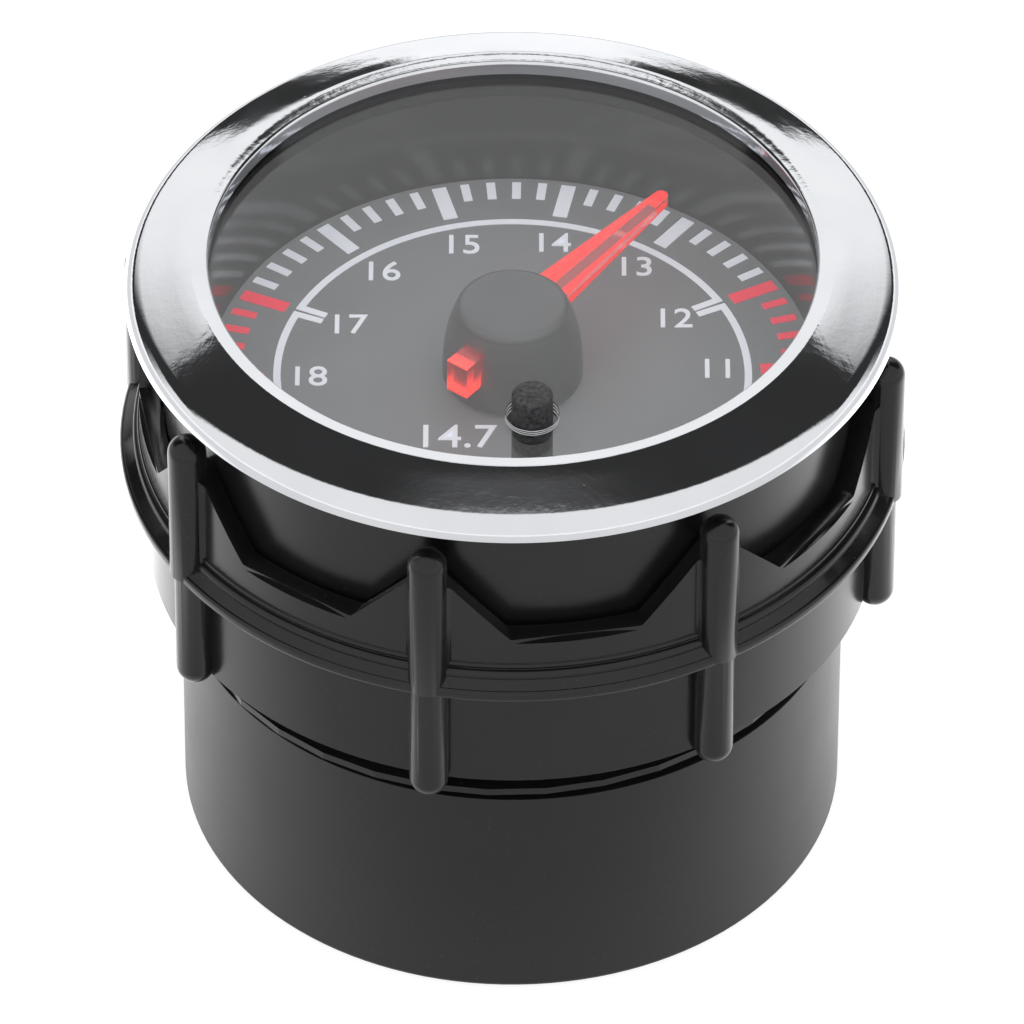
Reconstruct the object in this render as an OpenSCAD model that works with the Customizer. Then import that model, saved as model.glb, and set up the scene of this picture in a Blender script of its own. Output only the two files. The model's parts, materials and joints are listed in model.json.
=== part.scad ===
// Air fuel ratio gauge for a 52 mm panel hole: a two-part black case, a chrome-plated bezel over a
// clear lens, a pointer on a cross-coil movement, a push button and a screwed mounting ring.
// It stands on its rear face, with +Z along the pointer's spindle towards the viewer.

/* [Case] */
// Radius of the case behind the panel
case_r = 26; // [25.6:0.1:26.4]
// Step from the case out to the collar, which fits the panel's hole
collar_out = 1; // [0.9:0.05:1.1]
// Wall of the collar
collar_wall = 1.1; // [1:0.05:1.3]
// Height of the bezel's underside, where the panel's front lies
panel_z = 50; // [49:0.1:54]
// Height of the rear cup
cup_h = 20; // [19.4:0.1:20.6]
// Wall of the rear cup
cup_wall = 1.6; // [1.4:0.1:1.8]
// Floor of the rear cup
cup_floor = 1.8; // [1.4:0.1:2.4]
// Rounding of the rear cup's bottom edge
cup_edge = 0.6; // [0.3:0.1:1]
// Wall of the front housing under its thread
housing_wall = 1; // [0.9:0.05:1.1]
// Depth of the thread on the front housing
thread_depth = 0.8; // [0.6:0.05:0.9]
// Rise of the thread in one turn
thread_pitch = 3; // [2.4:0.1:3.6]
// Depth behind the panel's front at which the thread ends
thread_drop = 12.8; // [12.4:0.1:16]

/* [Bezel and lens] */
// How far the bezel stands out past the collar
bezel_out = 3; // [2.6:0.1:5]
// How far the bezel reaches in past the collar's outside, which sets its opening
bezel_in = 3.55; // [3.4:0.05:5]
// Rounding of the bezel's outer edge
bezel_round = 2; // [1.6:0.1:2.2]
// Angle of the bezel's sloping front
bezel_slope = 18.4; // [16:0.1:22]
// Width of the flat land round the opening
land_w = 1.4; // [1:0.1:2]
// Thickness of the lens
lens_t = 1.2; // [1:0.1:1.3]
// Height of the lens's front above the panel's front
lens_rise = 1.8; // [1.75:0.05:1.95]
// Radius of the lens's hole for the button
lens_hole_r = 2.04; // [1.9:0.02:2.4]

/* [Dial] */
// Depth of the dial behind the panel's front
dial_drop = 9.6; // [9:0.1:10]
// Thickness of the dial
dial_t = 0.6; // [0.4:0.1:0.8]
// Angle by which the printed scale is turned from straight up
dial_turn = 1.9; // [0:0.1:5]
// Angle from the middle of the scale to each end
scale_half_angle = 90; // [80:1:100]
// Gap between the bezel's opening and the outer ends of the scale marks, seen from above
mark_in = 0.35; // [0.2:0.05:1.4]
// Length of a short mark
minor_len = 2; // [1.4:0.1:2.4]
// Width of a short mark
minor_w = 0.7; // [0.4:0.05:0.9]
// Length of a long mark
major_len = 3.85; // [3:0.05:4.2]
// Width of a long mark
major_w = 1.15; // [0.9:0.05:1.4]
// Distance from the marks' outer ends in to the printed arc
arc_in = 4.53; // [4.2:0.01:5.5]
// Width of the printed arc's line
arc_w = 0.57; // [0.3:0.01:0.8]
// Length of the arc's turned-in ends
arc_turn_in = 2.5; // [1:0.1:3.5]

/* [Pointer] */
// Angle of the pointer at rest, counted from +X
pointer_angle = 52.3; // [40:0.1:60]
// Height of the pointer's flat top above the dial
pointer_rise = 5.6; // [5.4:0.1:6]
// How far the pointer's tip reaches past the printed arc's outer edge
pointer_past = 0.88; // [-1.5:0.01:1.4]
// Thickness of the pointer's hub and tail
pointer_t = 2.8; // [2.2:0.1:2.9]
// Thickness of the pointer's blade where it leaves the cap
blade_t = 1; // [0.9:0.05:1.3]
// Thickness of the blade at its tip
tip_t = 0.8; // [0.6:0.05:0.9]
// Width of the blade at the cap
root_w = 3.3; // [2.6:0.1:3.8]
// Width of the blade at its tip
tip_w = 1.1; // [0.8:0.1:1.6]
// Radius at the tail's end
tail_r = 7; // [6.4:0.1:8]
// Width of the tail
tail_w = 1.9; // [1.4:0.1:2.4]
// Radius of the hub cap's top
cap_top_r = 4.15; // [3.9:0.05:4.5]
// Radius of the hub at the dial
cap_base_r = 5.45; // [5.2:0.05:6]
// Height of the hub cap's top above the pointer
cap_rise = 1.6; // [1.4:0.05:1.8]
// Radius of the spindle
spindle_r = 0.5; // [0.4:0.05:0.6]

/* [Button] */
// Radius of the button
button_r = 1.58; // [1.3:0.02:1.7]
// Place of the button across the dial
button_x = 1.5; // [0:0.1:3]
// Distance from the bezel's opening in to the button's middle, below the dial's centre
button_in = 6.35; // [6.05:0.05:7]
// Height of the button's tip above the panel's front
button_rise = 3.9; // [3.4:0.1:6]
// Travel of the button
button_travel = 0.5; // [0.2:0.05:0.6]

/* [Mounting ring] */
// Wall of the ring below its flange
ring_wall = 1.9; // [1.7:0.1:2.2]
// Wall of the ring above its flange, where it passes round the collar
crown_wall = 1.7; // [1.5:0.05:1.8]
// Distance from the panel's front to the ring's bottom edge
ring_drop = 26; // [24:0.1:27]
// Distance from the panel's front to the wall's peaks beside the ribs
peak_drop = 5.3; // [4:0.1:6]
// How far the grip flange stands out past the wall
flange_out = 1.55; // [1.3:0.05:2]
// Distance from the panel's front to the flange's underside
flange_drop = 15.65; // [15.4:0.05:16.2]
// Height of the flange's outer edge
flange_t = 0.75; // [0.5:0.05:1]
// Number of ribs
rib_count = 8; // [6:1:8]
// Angle of the first rib, counted from +X
rib_angle = 32.4; // [0:0.1:45]
// Radius of a rib's rod
rib_r = 1.5; // [1.2:0.05:1.7]
// Thickness of panel that the ribs clamp against the bezel with the ring as it stands
panel_gap = 2; // [1.8:0.1:4]
// How far the ribs reach below the ring's bottom edge
rib_drop = 0.8; // [0.4:0.1:1.4]
// How far outside the wall's face the ribs above the flange stand
rib_upper_out = 0.4; // [0.2:0.05:0.6]
// How far outside the wall's face the ribs below the flange stand
rib_lower_out = 0.6; // [0.4:0.05:0.8]
// Depth of the notches below the wall's peaks
notch_depth = 5.4; // [3.7:0.1:6]
// Half of the angle that a notch spans at its bottom
notch_angle = 10.13; // [8:0.01:12]
// Half of the angle that a notch spans at the wall's peaks
notch_top_angle = 20.07; // [18:0.01:20.2]

/* [Boards] */
// Thickness of the circuit boards
board_t = 1.6; // [1:0.1:1.8]
// Gap between the housing's bore and the main board's edge
board_in = 1.4; // [1.4:0.1:2.4]
// Distance from the dial's back to the main board's front
board_drop = 5.8; // [5.4:0.1:6.2]
// Gap between the rear cup's screw bosses and the rear board's edge
rear_board_gap = 0.9; // [0.5:0.1:1.5]
// Height of the rear board's lower side
rear_board_z = 10.4; // [9.8:0.1:11]

/* [Movement] */
// Share of the main board's radius that the movement's shield takes
shield_share = 0.4825; // [0.475:0.0025:0.5]
// Wall of the movement's shield
shield_wall = 0.6; // [0.4:0.1:0.7]
// Share of the shield's radius that the bobbin's core takes
core_share = 0.5455; // [0.53:0.0005:0.56]
// Height of the bobbin's core
core_h = 8.4; // [8:0.1:8.6]
// Thickness of each coil's winding
coil_t = 1.2; // [0.9:0.1:1.2]
// Width of each half of a coil
coil_w = 1.8; // [1.2:0.1:2]
// Wall of the bobbin's core round the rotor magnet's chamber
chamber_wall = 1; // [0.9:0.1:1.6]
// Height of the rotor magnet
magnet_h = 4; // [3:0.1:4.4]
// Outer radius of the bearings
bearing_r = 1; // [0.9:0.05:1.1]

/* [Connector] */
// Width of the connector's shell
shell_w = 13; // [12:0.1:13.4]
// Depth of the connector's shell across
shell_d = 7.4; // [7:0.1:7.8]
// Wall of the connector's shell
shell_wall = 0.9; // [0.7:0.1:1]
// Place of the connector below the centre
shell_y = -6; // [-6.2:0.1:-5.6]
// Spacing of the connector's pins
pin_pitch = 2.5; // [2:0.1:2.6]
// Number of the connector's pins
pin_count = 4; // [2:1:4]
// Width of a pin
pin_w = 0.64; // [0.5:0.02:0.8]

/* [Hidden] */
$fn = 96;

// Clearances and the overrun of every cut
cut = 0.5;
slip = 0.05;
fit_gap = 0.1;
run_gap = 0.04;
free_gap = 0.4;
bury = 0.3;
arc_steps = 8;

// Case
collar_r = case_r + collar_out;
thread_root_r = case_r - thread_depth;
housing_bore_r = thread_root_r - housing_wall;
board_r = housing_bore_r - board_in;
cup_bore_r = case_r - cup_wall;
spigot_r = cup_bore_r - slip;
spigot_wall = 1.35;
spigot_bore_r = spigot_r - spigot_wall;
spigot_depth = 4;
spigot_z = cup_h - spigot_depth;
recess_in = 8.6;
recess_r = case_r - recess_in;
recess_depth = 0.3;

// Thread, as a helix of four-sided rings whose start the case's joint cuts off
thread_foot = 1.4;
thread_crest = 0.6;
thread_start_angle = -184;
thread_steps = 36;
thread_fade = 4;
thread_top_z = panel_z - thread_drop;
thread_rings = floor((thread_top_z - cup_h) / thread_pitch * thread_steps);

// Collar, the flange on it and the bezel crimped round that flange
bezel_r = collar_r + bezel_out;
aperture_r = collar_r - bezel_in;
dial_z = panel_z - dial_drop;
dial_back_z = dial_z - dial_t;
board_z = dial_back_z - board_drop;
collar_floor = 1.6;
collar_z = dial_back_z - collar_floor;
collar_bore_r = collar_r - collar_wall;
seat_out = 1.3;
seat_h = 0.8;
seat_r = collar_r + seat_out;
bezel_lip = 0.3;
crimp_z = panel_z + bezel_lip;
seat_top_z = crimp_z + seat_h;
round_drop = 0.15;
round_x = bezel_r - bezel_round;
round_z = panel_z - round_drop;
round_from_angle = asin(round_drop / bezel_round);
round_to_angle = 90 - bezel_slope;
slope_r = round_x + bezel_round * cos(round_to_angle);
slope_z = round_z + bezel_round * sin(round_to_angle);
land_r = aperture_r + land_w;
land_z = slope_z + (slope_r - land_r) * tan(bezel_slope);
land_rise = 0.1;
land_edge = 0.25;

// Stack in the collar, from the lens back to the dial and the light guide
lens_top_z = panel_z + lens_rise;
lens_back_z = lens_top_z - lens_t;
stack_r = collar_bore_r - fit_gap;
gasket_h = 1.6;
gasket_z = lens_back_z - gasket_h;
wall_step = 0.15;
wall_in_r = aperture_r + wall_step;
dial_hole_r = 1.4;
guide_t = 2;
guide_z = dial_back_z - guide_t;
guide_r = board_r - fit_gap;
guide_hole_r = 3;
print_t = 0.06;
mark_count = 35;
marks_per_major = 5;
red_from = 2.5;
mark_r = aperture_r - mark_in;
mark_step_angle = 2 * scale_half_angle / mark_count;
arc_r = mark_r - arc_in;
arc_break_angle = mark_step_angle * marks_per_major * red_from;
arc_gap = 0.3;
arc_end_angle = 112;

// Screws
case_screw_r = 1;
case_screw_head_r = 1.9;
case_screw_head_h = 1.4;
case_screw_len = 13.4;
case_screw_inset = 4.5;
case_screw_ring_r = case_r - case_screw_inset;
case_screw_seat_z = 8;
case_screw_angles = [60, 180, 300];
boss_r = 3;
lug_r = 2.4;
lug_h = 6;
small_screw_r = 0.9;
small_screw_head_r = 1.7;
small_screw_head_h = 1.2;
small_screw_len = 4.6;
ear_r = 2.1;
ear_out = 0.2;
ear_ring_r = board_r - ear_r + ear_out;
ear_angles = [0, 120, 240];
post_r = 2;
post_in = 3.1;
rear_board_r = case_screw_ring_r - boss_r - rear_board_gap;
post_ring_r = rear_board_r - post_in;
drive_w = 1.5;
drive_t = 0.4;
drive_depth = 0.5;

// Pointer
pointer_z = dial_z + pointer_rise;
pointer_r = arc_r + pointer_past;
pointer_back_z = pointer_z - pointer_t;
blade_z = pointer_z - blade_t;
cap_z = pointer_z + cap_rise;
hub_gap = 0.34;
hub_z = dial_z + print_t + hub_gap;
hub_power = 2.6;
hub_disc_r = 3.4;
cap_cavity_r = hub_disc_r + fit_gap;
cap_edge = 0.3;
root_r = 5;
tip_end_r = pointer_r - tip_w / 2;
foil_t = 0.12;
foil_slot_w = 0.9;
foil_from_r = cap_base_r;
key_len = 0.7;
key_mid_r = cap_cavity_r + slip + key_len / 2;
spindle_depth = 0.4;
spindle_top_z = pointer_z - spindle_depth;

// Button and its switch
button_y = button_in - aperture_r;
button_z = panel_z + button_rise;
switch_w = 6;
switch_h = 3.4;
switch_top_z = board_z + switch_h;
plunger_guide = 0.3;
switch_well = 2 * button_travel + plunger_guide * 2;
plunger_r = 1.7;
plunger_h = 0.9;
plunger_foot = button_travel + plunger_guide;
plunger_top_z = switch_top_z + plunger_h;
button_collar_r = 2.1;
button_collar_gap = 0.3;
button_collar_z = dial_back_z - button_collar_gap;
button_edge = 0.25;
button_hole_r = button_r + fit_gap * 3;
button_well_r = button_collar_r + free_gap;

// Mounting ring, whose wall above the flange is its crown
ring_gap = 0.5;
ring_bore_r = case_r + ring_gap;
ring_edge = 0.3;
crown_gap = 0.3;
crown_bore_r = collar_r + crown_gap;
crown_r = crown_bore_r + crown_wall;
ring_r = ring_bore_r + ring_wall;
ring_z = panel_z - ring_drop;
ring_peak_z = panel_z - peak_drop;
crown_bore_rise = 12;
crown_bore_z = ring_z + crown_bore_rise;
crown_edge = 0.4;
flange_edge = 0.15;
flange_r = crown_r + flange_out;
flange_z = panel_z - flange_drop;
flange_top_z = flange_z + flange_t;
flange_rise = 0.7;
step_out = 0.4;
step_h = 0.5;
step_edge = 0.15;
step_r = crown_r + step_out;
step_z = flange_top_z + flange_rise;
step_top_z = step_z + step_h;
root_h = 0.55;
root_out = 0.15;
rib_foot = 0.45;
rib_pitch = 360 / rib_count;
rib_top_z = panel_z - panel_gap;
rib_bottom_z = ring_z - rib_drop;
rib_upper_r = crown_r + rib_upper_out;
rib_lower_r = ring_r + rib_lower_out;
notch_z = ring_peak_z - notch_depth;
notch_half_w = crown_r * sin(notch_angle);
notch_half_top = crown_r * sin(notch_top_angle);

// Movement, stacked down from the main board
shield_r = board_r * shield_share;
core_r = shield_r * core_share;
magnet_r = core_r - chamber_wall - free_gap * 1.5;
board_back_z = board_z - board_t;
coil_gap = 0.1;
stack_drop = 0.8;
outer_coil_top_z = board_back_z - stack_drop;
inner_coil_top_z = outer_coil_top_z - coil_t - coil_gap;
core_top_z = inner_coil_top_z - coil_t - coil_gap;
core_z = core_top_z - core_h;
core_mid_z = core_z + core_h / 2;
inner_coil_z = core_z - coil_gap - coil_t;
outer_coil_z = inner_coil_z - coil_gap - coil_t;
base_t = 0.9;
base_z = outer_coil_z - coil_gap - base_t;
shield_z = base_z - shield_wall;
shield_top_z = board_back_z - free_gap;
base_r = shield_r - shield_wall - fit_gap * 2;
chamber_r = magnet_r + free_gap * 1.5;
chamber_half_h = magnet_h / 2 + free_gap * 1.5;
coil_inset = 1.6;
neck_r = coil_inset - fit_gap;
neck_top_z = board_z - fit_gap * 2;
bearing_h = 4;
bearing_floor = 0.4;
bearing_sink = 0.3;
lower_bearing_z = base_z + base_t - bearing_sink;
spindle_z = lower_bearing_z + bearing_floor + fit_gap;
upper_bearing_z = neck_top_z - bearing_h;
pillar_r = 0.9;
pillar_in = 2.4;
pillar_ring_r = shield_r - pillar_in;
pillar_angles = [45, 135, 225, 315];
movement_pin_r = 0.35;
movement_pin_depth = 3;
pin_stand = 0.6;

// Boards and what is on them
rear_board_top_z = rear_board_z + board_t;
lamp_size = [3.5, 2.8, 1.6];
lamp_share = 0.636;
lamp_ring_r = board_r * lamp_share;
lamp_angles = [30, 90, 150, 210, 330];
chip_size = [4, 10, 1.5];
chip_leg = [1, 0.4, 0.3];
chip_leg_count = 8;
chip_leg_pitch = 1.27;
chip_share = 0.649;
chip_x = -board_r * chip_share;
chip_stand = 0.1;
resistor_size = [1.6, 0.8, 0.5];
resistor_in = 3.8;
resistor_ring_r = board_r - resistor_in;
resistor_angles = [26, 40, 54, 68, 140, 154];
header_size = [13.4, 2.5, 2.5];
header_angle = 120;
header_out = 3;
header_ring_r = shield_r + header_out;
header_pins = 5;
header_pitch = 2.54;
pin_hole_gap = 0.15;
capacitor_r = 3.15;
capacitor_h = 6;
capacitor_in = 3.35;
capacitor_ring_r = rear_board_r - capacitor_in;
capacitor_angle = 15;
capacitor_groove = 0.35;
capacitor_base_h = 0.8;
regulator_size = [6.5, 6.1, 2.3];
regulator_tab = [5.2, 2.6, 0.5];
regulator_at = [-2, 3];
shell_back = 1.6;
shell_sink = 0.2;
shell_z = recess_depth + shell_sink;
pin_tip_z = 4.9;

// A round tube between two heights
module tube(outer_r, inner_r, z0, z1) {
    translate([0, 0, z0]) difference() {
        cylinder(r = outer_r, h = z1 - z0);
        translate([0, 0, -cut]) cylinder(r = inner_r, h = z1 - z0 + 2 * cut);
    }
}

// A round bar or a drill between two heights
module bar(bar_r, z0, z1) {
    translate([0, 0, z0]) cylinder(r = bar_r, h = z1 - z0);
}

// A rectangular block between two heights, centred on its place
module block(size_x, size_y, z0, z1) {
    translate([-size_x / 2, -size_y / 2, z0]) cube([size_x, size_y, z1 - z0]);
}

// Copies of the children at each angle, moved out by the radius
module around(angles, ring_radius) {
    for (a = angles) rotate([0, 0, a]) translate([ring_radius, 0, 0]) children();
}

// Points of an arc, from one angle to another
function arc(x, z, radius, from, to, steps = arc_steps) =
    [for (i = [0 : steps]) let (a = from + (to - from) * i / steps)
        [x + radius * cos(a), z + radius * sin(a)]];

// A pan-head screw with a cross recess; its head lies below the seat and its shank above
module screw(shank_r, head_r, head_h, length) {
    difference() {
        union() {
            bar(shank_r, 0, length - shank_r);
            translate([0, 0, length - shank_r]) cylinder(r1 = shank_r, r2 = shank_r / 4, h = shank_r);
            bar(head_r, -head_h, 0);
        }
        for (turn = [0, 90]) rotate([0, 0, turn])
            block(drive_w, drive_t, -head_h - cut, drive_depth - head_h);
    }
}

// Case

module rear_cup() {
    color("#2b2b2b") difference() {
        union() {
            rotate_extrude() polygon(concat(
                [[0, 0]],
                arc(case_r - cup_edge, cup_edge, cup_edge, -90, 0),
                [[case_r, cup_h], [cup_bore_r, cup_h], [cup_bore_r, cup_floor], [0, cup_floor]]));
            around(case_screw_angles, case_screw_ring_r) bar(boss_r, 0, spigot_z);
            around(case_screw_angles, post_ring_r) bar(post_r, 0, rear_board_z);
        }
        bar(recess_r, -cut, recess_depth);
        around(case_screw_angles, case_screw_ring_r) {
            bar(case_screw_head_r + fit_gap * 2, -cut, case_screw_seat_z);
            bar(case_screw_r + fit_gap, 0, spigot_z + cut);
        }
        around(case_screw_angles, post_ring_r)
            bar(small_screw_r, rear_board_top_z - small_screw_len - cut, rear_board_z + cut);
        translate([0, shell_y, 0])
            block(shell_w + 2 * fit_gap, shell_d + 2 * fit_gap, -cut, cup_floor + cut);
    }
}

// One four-sided ring of the thread, which fades out at both ends
function thread_share(i) = min(1, i / thread_fade, (thread_rings - i) / thread_fade);
function thread_ring(i) =
    let (
        a = thread_start_angle + 360 * i / thread_steps,
        z = cup_h + thread_pitch * i / thread_steps,
        crest_r = thread_root_r - bury / 2 + (thread_depth + bury / 2) * thread_share(i),
        foot = thread_foot / 2,
        crest = thread_crest / 2
    )
    [for (p = [[thread_root_r - bury, z - foot], [crest_r, z - crest], [crest_r, z + crest],
        [thread_root_r - bury, z + foot]]) [p[0] * cos(a), p[0] * sin(a), p[1]]];

module housing_thread() {
    points = [for (i = [0 : thread_rings]) for (p = thread_ring(i)) p];
    last = 4 * thread_rings;
    sides = [for (i = [0 : thread_rings - 1]) for (j = [0 : 3])
        let (a = 4 * i + j, b = 4 * i + (j + 1) % 4)
        for (face = [[a, b, b + 4], [a, b + 4, a + 4]]) face];
    difference() {
        polyhedron(points = points, faces = concat([[2, 1, 0], [3, 2, 0]], sides,
            [[last, last + 1, last + 2], [last, last + 2, last + 3]]));
        bar(case_r + cut, cup_h - thread_foot, cup_h + slip);
    }
}

module front_housing() {
    spigot_step = housing_bore_r - spigot_bore_r;
    screw_end_z = case_screw_seat_z + case_screw_len + fit_gap;
    color("#262626") difference() {
        union() {
            rotate_extrude() polygon([
                [spigot_bore_r, spigot_z], [spigot_r, spigot_z], [spigot_r, cup_h], [thread_root_r, cup_h],
                [thread_root_r, collar_z], [collar_r - ring_edge, collar_z],
                [collar_r, collar_z + ring_edge], [collar_r, crimp_z], [seat_r, crimp_z],
                [seat_r, seat_top_z], [collar_bore_r, seat_top_z], [collar_bore_r, dial_back_z],
                [board_r + fit_gap, dial_back_z], [board_r + fit_gap, guide_z], [housing_bore_r, guide_z],
                [housing_bore_r, cup_h + spigot_step], [spigot_bore_r, cup_h]]);
            housing_thread();
            around(case_screw_angles, case_screw_ring_r) bar(lug_r, spigot_z + fit_gap, spigot_z + lug_h);
            around(ear_angles, ear_ring_r) {
                bar(ear_r, board_z, guide_z);
                translate([(housing_bore_r - ear_ring_r) / 2, 0, 0])
                    block(housing_bore_r - ear_ring_r + bury, 2 * ear_r, board_z, guide_z);
            }
        }
        around(case_screw_angles, case_screw_ring_r) bar(case_screw_r, spigot_z - cut, screw_end_z);
        around(ear_angles, ear_ring_r)
            bar(small_screw_r, board_z - cut, board_back_z + small_screw_len + fit_gap);
    }
}

module case_screws() {
    color("#8d8d8d") around(case_screw_angles, case_screw_ring_r) translate([0, 0, case_screw_seat_z])
        screw(case_screw_r, case_screw_head_r, case_screw_head_h, case_screw_len);
}

// Bezel, lens and what lies between them and the dial

module bezel() {
    color("#d8dadc") rotate_extrude() polygon(concat(
        [[collar_r + free_gap, panel_z]],
        arc(round_x, round_z, bezel_round, round_from_angle, round_to_angle),
        [[land_r, land_z]],
        arc(aperture_r + land_edge, land_z + land_rise - land_edge, land_edge, 90, 180, 4),
        [[aperture_r, lens_top_z], [stack_r + slip, lens_top_z], [stack_r + slip, seat_top_z + fit_gap],
        [seat_r + fit_gap, seat_top_z + fit_gap], [seat_r + fit_gap, crimp_z],
        [collar_r + free_gap, crimp_z]]));
}

module lens() {
    color("#9a9a9a", 0.35) difference() {
        bar(stack_r, lens_back_z, lens_top_z);
        translate([button_x, button_y, 0]) bar(lens_hole_r, lens_back_z - cut, lens_top_z + cut);
    }
}

module lens_gasket() {
    color("#151515") tube(stack_r, wall_in_r, gasket_z, lens_back_z);
}

module inner_wall() {
    color("#1c1c1c") tube(stack_r, wall_in_r, dial_z, gasket_z);
}

module dial_face() {
    color("#202020") difference() {
        bar(stack_r, dial_back_z, dial_z);
        bar(dial_hole_r, dial_back_z - cut, dial_z + cut);
        translate([button_x, button_y, 0]) bar(button_hole_r, dial_back_z - cut, dial_z + cut);
    }
}

// One printed mark, its outer end on the scale's radius; the angle is counted clockwise from mid-scale
module mark(angle, length, width) {
    rotate([0, 0, 90 + dial_turn - angle]) translate([mark_r - length / 2, 0, 0])
        block(length, width, dial_z, dial_z + print_t);
}

// The marks whose place on the scale is white, or those that are red
module marks(red) {
    for (i = [0 : mark_count]) {
        from_middle = i - mark_count / 2;
        is_major = i % marks_per_major == 0;
        is_red = abs(from_middle) >= marks_per_major * red_from;
        if (is_red == red) mark(from_middle * mark_step_angle, is_major ? major_len : minor_len,
            is_major ? major_w : minor_w);
    }
}

// A stretch of the printed arc between two angles, with its first end, or both, turned inwards
module arc_line(from, to, turn_last) {
    rotate([0, 0, 90 + dial_turn - to]) rotate_extrude(angle = to - from)
        translate([arc_r - arc_w, dial_z]) square([arc_w, print_t]);
    edge = asin(arc_w / 2 / arc_r);
    for (a = turn_last ? [from + edge, to - edge] : [from + edge])
        rotate([0, 0, 90 + dial_turn - a]) translate([arc_r - arc_turn_in / 2, 0, 0])
            block(arc_turn_in, arc_w, dial_z, dial_z + print_t);
}

module dial_white_print() {
    half_gap = asin(arc_gap / 2 / arc_r);
    color("white") {
        marks(false);
        arc_line(half_gap - arc_break_angle, arc_break_angle - half_gap, true);
        arc_line(arc_break_angle + half_gap, arc_end_angle, false);
        rotate([0, 0, dial_turn]) mirror([1, 0, 0]) rotate([0, 0, -dial_turn])
            arc_line(arc_break_angle + half_gap, arc_end_angle, false);
    }
}

module dial_red_print() {
    color("#e0485a") marks(true);
}

module light_guide() {
    color("#e8e8e4") difference() {
        bar(guide_r, guide_z, dial_back_z);
        bar(guide_hole_r, guide_z - cut, dial_back_z + cut);
        translate([button_x, button_y, 0]) bar(button_well_r, guide_z - cut, dial_back_z + cut);
    }
}

// Pointer

// Radius of the hub at a height, which swells from the cap's top to the dial
function hub_r_at(z) = cap_base_r - (cap_base_r - cap_top_r) * pow((z - hub_z) / (cap_z - hub_z), hub_power);

module pointer_hub() {
    color("#1e1e1e") {
        rotate_extrude() polygon(concat(
            [[spindle_r, hub_z]],
            [for (i = [0 : 3]) let (z = hub_z + (pointer_back_z - hub_z) * i / 3) [hub_r_at(z), z]],
            [[spindle_r, pointer_back_z]]));
        rotate([0, 0, pointer_angle]) translate([key_mid_r, 0, 0])
            block(key_len, root_w, pointer_back_z - bury, blade_z - slip);
    }
}

// Plan of the pointer, seen along the spindle, with its tip on the pointer's radius. In the cap's
// slot the hub's key stands under the blade
module pointer_plan(gap) {
    slope = (root_w - tip_w) / 2 / (tip_end_r - root_r);
    centre_w = root_w / 2 + slope * root_r;
    polygon([[0, -centre_w - gap], [tip_end_r, -tip_w / 2 - gap], [tip_end_r, tip_w / 2 + gap],
        [0, centre_w + gap]]);
    translate([tip_end_r, 0]) circle(r = tip_w / 2 + gap);
    translate([-tail_r, -tail_w / 2 - gap]) square([tail_r, tail_w + 2 * gap]);
}

// Side of the pointer: flat on top, as thick as the hub as far as the tail goes, then a thin blade
module pointer_slab() {
    rotate([90, 0, 0]) linear_extrude(height = 2 * root_w, center = true) polygon([
        [-tail_r, pointer_back_z], [0, pointer_back_z], [0, blade_z],
        [pointer_r, pointer_z - tip_t], [pointer_r, pointer_z], [-tail_r, pointer_z]]);
}

module needle() {
    color("#ff5a50") rotate([0, 0, pointer_angle]) difference() {
        union() {
            intersection() {
                translate([0, 0, pointer_back_z - cut])
                    linear_extrude(height = pointer_t + 2 * cut) pointer_plan(0);
                pointer_slab();
            }
            bar(hub_disc_r, pointer_back_z, pointer_z);
        }
        bar(spindle_r, pointer_back_z - cut, spindle_top_z);
    }
}

module needle_foil() {
    color("#e0382e") rotate([0, 0, pointer_angle]) difference() {
        intersection() {
            translate([0, 0, pointer_back_z - cut])
                linear_extrude(height = pointer_t + 2 * cut) pointer_plan(0);
            rotate([90, 0, 0]) linear_extrude(height = 2 * root_w, center = true) polygon([
                [-tail_r, pointer_back_z - foil_t], [0, pointer_back_z - foil_t], [0, blade_z - foil_t],
                [pointer_r, pointer_z - tip_t - foil_t], [pointer_r, pointer_z - tip_t],
                [0, blade_z], [0, pointer_back_z], [-tail_r, pointer_back_z]]);
        }
        bar(foil_from_r, pointer_back_z - pointer_t, pointer_z);
        translate([0, -foil_slot_w / 2, pointer_back_z - pointer_t])
            cube([tip_end_r - tip_w, foil_slot_w, 2 * pointer_t]);
    }
}

module hub_cap() {
    flank_h = cap_z - cap_edge - pointer_back_z;
    color("#1e1e1e") difference() {
        rotate_extrude() polygon(concat(
            [[0, pointer_back_z]],
            [for (i = [0 : arc_steps]) let (z = pointer_back_z + flank_h * i / arc_steps) [hub_r_at(z), z]],
            [[cap_top_r - cap_edge, cap_z], [0, cap_z]]));
        bar(cap_cavity_r, pointer_back_z - cut, pointer_z + slip);
        rotate([0, 0, pointer_angle]) translate([0, 0, pointer_back_z - cut])
            linear_extrude(height = pointer_t + cut + slip) pointer_plan(slip);
    }
}

module spindle() {
    color("#b9b9b9") bar(spindle_r, spindle_z, spindle_top_z);
}

// Button

module button() {
    edge_z = button_z - button_edge;
    color("#1b1b1b") translate([button_x, button_y, 0]) {
        bar(button_r, plunger_top_z, edge_z);
        translate([0, 0, edge_z]) cylinder(r1 = button_r, r2 = button_r - button_edge, h = button_edge);
        bar(button_collar_r, plunger_top_z, button_collar_z);
    }
}

module switch_plunger() {
    color("#404040") translate([button_x, button_y, 0])
        bar(plunger_r, switch_top_z - plunger_foot, plunger_top_z);
}

module tact_switch() {
    color("#303030") translate([button_x, button_y, 0]) difference() {
        block(switch_w, switch_w, board_z, switch_top_z);
        bar(plunger_r + fit_gap, switch_top_z - switch_well, switch_top_z + cut);
    }
}

// Mounting ring

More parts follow.
